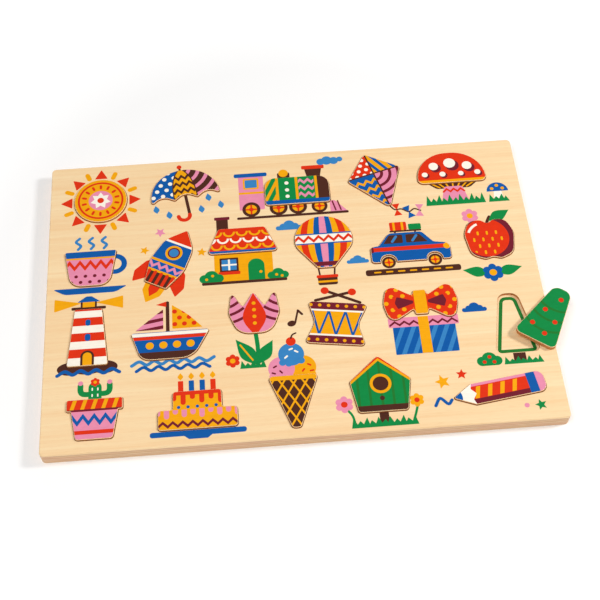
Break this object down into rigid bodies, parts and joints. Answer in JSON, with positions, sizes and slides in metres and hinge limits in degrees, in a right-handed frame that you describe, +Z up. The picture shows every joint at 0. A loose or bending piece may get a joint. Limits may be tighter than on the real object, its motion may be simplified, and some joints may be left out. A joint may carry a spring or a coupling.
{
  "type": "wooden inset puzzle",
  "caption": "Flat laminated wooden board with fretted recesses and loose printed wooden pieces that lift out by their edges.",
  "frame": {"origin": "middle of the board's underside, where it rests", "axes": "+X along the board's length to the player's right, +Y across its width away from the player, +Z up out of the printed face"},
  "size_m": [0.4713, 0.305, 0.0189],
  "materials": {
    "birch_base": "sanded plywood, bare edges",
    "birch_top": "sanded birch veneer, clear matt lacquer, printed motifs",
    "yellow_print": "satin printed plywood",
    "blue_print": "satin printed plywood",
    "green_print": "satin printed plywood",
    "pink_print": "satin printed plywood",
    "red_print": "satin printed plywood",
    "brown_print": "satin printed plywood"
  },
  "bodies": {
    "board": {"base_sheet": "birch_base", "frame_sheet": "birch_top"},
    "sun": {"sun_piece": "yellow_print"},
    "umbrella": {"umbrella_piece": "blue_print"},
    "engine": {"engine_piece": "green_print"},
    "kite": {"kite_piece": "pink_print"},
    "mushroom": {"mushroom_piece": "red_print"},
    "cup": {"cup_piece": "pink_print"},
    "rocket": {"rocket_piece": "blue_print"},
    "roof": {"roof_piece": "red_print"},
    "balloon": {"balloon_piece": "yellow_print"},
    "car": {"car_piece": "blue_print"},
    "apple": {"apple_piece": "red_print"},
    "lighthouse": {"lighthouse_piece": "red_print"},
    "boat": {"boat_piece": "blue_print"},
    "tulip": {"tulip_piece": "pink_print"},
    "drum": {"drum_piece": "yellow_print"},
    "bow": {"bow_piece": "red_print"},
    "tree": {"tree_piece": "green_print"},
    "pot": {"pot_piece": "pink_print"},
    "cake": {"cake_piece": "yellow_print"},
    "cone": {"cone_piece": "brown_print"},
    "birdhouse": {"birdhouse_piece": "green_print"},
    "pencil": {"pencil_piece": "red_print"}
  },
  "joints": [
    {"name": "sun_lift", "type": "slide", "parent": "board", "child": "sun", "axis": [0, 0, 1], "range_m": [0, 0.03]},
    {"name": "umbrella_lift", "type": "slide", "parent": "board", "child": "umbrella", "axis": [0, 0, 1], "range_m": [0, 0.03]},
    {"name": "engine_lift", "type": "slide", "parent": "board", "child": "engine", "axis": [0, 0, 1], "range_m": [0, 0.03]},
    {"name": "kite_lift", "type": "slide", "parent": "board", "child": "kite", "axis": [0, 0, 1], "range_m": [0, 0.03]},
    {"name": "mushroom_lift", "type": "slide", "parent": "board", "child": "mushroom", "axis": [0, 0, 1], "range_m": [0, 0.03]},
    {"name": "cup_lift", "type": "slide", "parent": "board", "child": "cup", "axis": [0, 0, 1], "range_m": [0, 0.03]},
    {"name": "rocket_lift", "type": "slide", "parent": "board", "child": "rocket", "axis": [0, 0, 1], "range_m": [0, 0.03]},
    {"name": "roof_lift", "type": "slide", "parent": "board", "child": "roof", "axis": [0, 0, 1], "range_m": [0, 0.03]},
    {"name": "balloon_lift", "type": "slide", "parent": "board", "child": "balloon", "axis": [0, 0, 1], "range_m": [0, 0.03]},
    {"name": "car_lift", "type": "slide", "parent": "board", "child": "car", "axis": [0, 0, 1], "range_m": [0, 0.03]},
    {"name": "apple_lift", "type": "slide", "parent": "board", "child": "apple", "axis": [0, 0, 1], "range_m": [0, 0.03]},
    {"name": "lighthouse_lift", "type": "slide", "parent": "board", "child": "lighthouse", "axis": [0, 0, 1], "range_m": [0, 0.03]},
    {"name": "boat_lift", "type": "slide", "parent": "board", "child": "boat", "axis": [0, 0, 1], "range_m": [0, 0.03]},
    {"name": "tulip_lift", "type": "slide", "parent": "board", "child": "tulip", "axis": [0, 0, 1], "range_m": [0, 0.03]},
    {"name": "drum_lift", "type": "slide", "parent": "board", "child": "drum", "axis": [0, 0, 1], "range_m": [0, 0.03]},
    {"name": "bow_lift", "type": "slide", "parent": "board", "child": "bow", "axis": [0, 0, 1], "range_m": [0, 0.03]},
    {"name": "tree_lift", "type": "slide", "parent": "board", "child": "tree", "axis": [0, 0, 1], "range_m": [0, 0.03]},
    {"name": "pot_lift", "type": "slide", "parent": "board", "child": "pot", "axis": [0, 0, 1], "range_m": [0, 0.03]},
    {"name": "cake_lift", "type": "slide", "parent": "board", "child": "cake", "axis": [0, 0, 1], "range_m": [0, 0.03]},
    {"name": "cone_lift", "type": "slide", "parent": "board", "child": "cone", "axis": [0, 0, 1], "range_m": [0, 0.03]},
    {"name": "birdhouse_lift", "type": "slide", "parent": "board", "child": "birdhouse", "axis": [0, 0, 1], "range_m": [0, 0.03]},
    {"name": "pencil_lift", "type": "slide", "parent": "board", "child": "pencil", "axis": [0, 0, 1], "range_m": [0, 0.03]}
  ]
}
